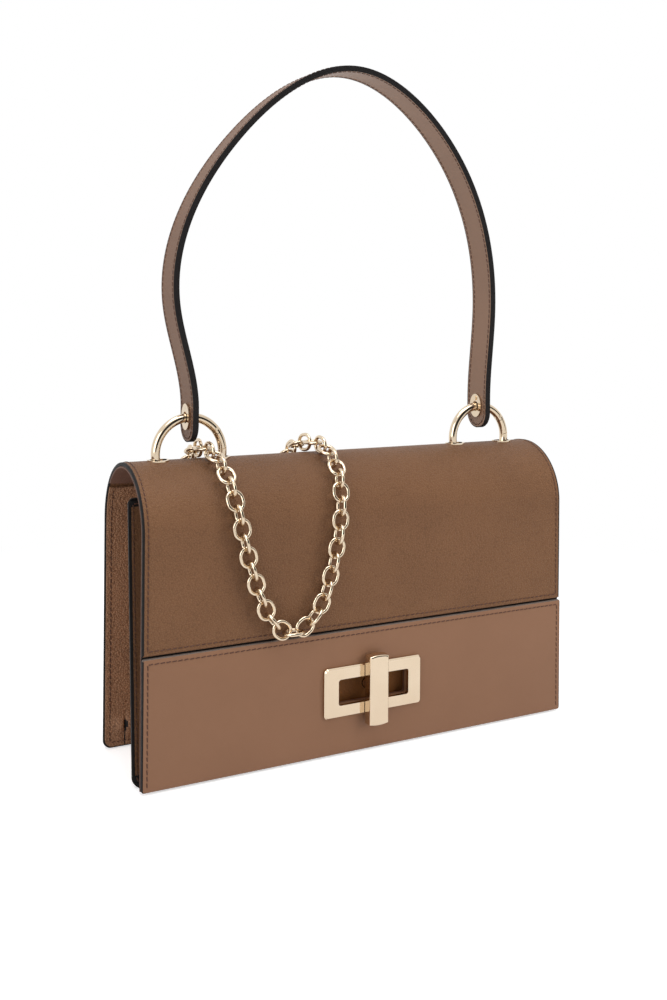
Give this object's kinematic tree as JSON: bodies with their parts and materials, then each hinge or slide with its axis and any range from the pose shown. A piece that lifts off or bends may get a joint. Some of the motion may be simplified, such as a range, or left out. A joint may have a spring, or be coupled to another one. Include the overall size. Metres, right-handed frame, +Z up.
{
  "type": "chain shoulder bag",
  "caption": "Structured leather flap bag with a turn lock, a short ring hung handle and a metal chain strap draped over its front",
  "frame": {"origin": "on the floor, under the middle of the bag's width and depth", "axes": "+X along the bag's width, to the viewer's right in front of the flap; -Y the flap's side; +Z up"},
  "size_m": [0.282, 0.0952, 0.4071],
  "materials": {
    "grain_leather": "pebbled",
    "smooth_leather": "smooth",
    "lining_leather": "matte",
    "handle_lining_leather": "smooth",
    "stiff_board": "matte",
    "gold_metal": "polished"
  },
  "bodies": {
    "bag": {"back_panel": "grain_leather", "back_stiffener": "stiff_board", "back_lining": "lining_leather", "front_panel": "grain_leather", "front_stiffener": "stiff_board", "front_lining": "lining_leather", "left_gusset": "grain_leather", "right_gusset": "grain_leather", "base_panel": "grain_leather", "base_board": "stiff_board", "slip_pocket": "lining_leather", "lock_base": "gold_metal", "lock_back_plate": "gold_metal", "lock_rivets": "gold_metal", "lock_pad": "smooth_leather", "left_chain_tab": "grain_leather", "right_chain_tab": "grain_leather", "left_chain_dee": "gold_metal", "right_chain_dee": "gold_metal", "chain_tab_rivets": "gold_metal", "chain_back_left": "gold_metal", "chain_back_right": "gold_metal"},
    "flap": {"flap_upper": "grain_leather", "flap_stiffener": "stiff_board", "flap_lining": "lining_leather", "flap_lower_panel": "smooth_leather", "lock_frame": "gold_metal", "lock_frame_backing": "gold_metal", "lock_frame_screws": "gold_metal", "left_eyelets": "gold_metal", "right_eyelets": "gold_metal", "left_eyelet_washers": "gold_metal", "right_eyelet_washers": "gold_metal", "chain_front": "gold_metal"},
    "toggle": {"toggle_bar": "gold_metal", "toggle_spindle": "gold_metal", "spindle_clip": "gold_metal"},
    "left_ring": {"left_ring": "gold_metal", "left_gate_pin": "gold_metal"},
    "right_ring": {"right_ring": "gold_metal", "right_gate_pin": "gold_metal"},
    "left_gate": {"left_gate": "gold_metal"},
    "right_gate": {"right_gate": "gold_metal"},
    "handle": {"handle_outer": "grain_leather", "handle_core": "stiff_board", "handle_lining": "handle_lining_leather", "left_handle_plate": "gold_metal", "right_handle_plate": "gold_metal", "left_handle_washer": "gold_metal", "right_handle_washer": "gold_metal", "handle_screws": "gold_metal"}
  },
  "joints": [
    {"name": "flap_fold", "type": "hinge", "parent": "bag", "child": "flap", "pos_m": [0, 0.03717, 0.163], "axis": [-1, 0, 0], "range_deg": [0, 100]},
    {"name": "toggle_turn", "type": "hinge", "parent": "bag", "child": "toggle", "pos_m": [0, -0.02, 0.0377], "axis": [0, 1, 0], "range_deg": [0, 90]},
    {"name": "left_ring_swing", "type": "hinge", "parent": "flap", "child": "left_ring", "pos_m": [-0.101, 0.005, 0.1703], "axis": [1, 0, 0], "range_deg": [-12, 12]},
    {"name": "right_ring_swing", "type": "hinge", "parent": "flap", "child": "right_ring", "pos_m": [0.101, 0.005, 0.1703], "axis": [1, 0, 0], "range_deg": [-12, 12]},
    {"name": "left_gate_turn", "type": "hinge", "parent": "left_ring", "child": "left_gate", "pos_m": [-0.08545, 0.005, 0.18865], "axis": [0, 1, 0], "range_deg": [0, 18], "stiffness_Nm_per_rad": 0.01},
    {"name": "right_gate_turn", "type": "hinge", "parent": "right_ring", "child": "right_gate", "pos_m": [0.11655, 0.005, 0.18865], "axis": [0, 1, 0], "range_deg": [0, 18], "stiffness_Nm_per_rad": 0.01},
    {"name": "handle_swing", "type": "hinge", "parent": "left_ring", "child": "handle", "pos_m": [-0.101, 0.005, 0.1959], "axis": [1, 0, 0], "range_deg": [-65, 20]}
  ],
  "couplings": [
    {"joint": "right_ring_swing", "follows": "left_ring_swing", "ratio": 1}
  ]
}
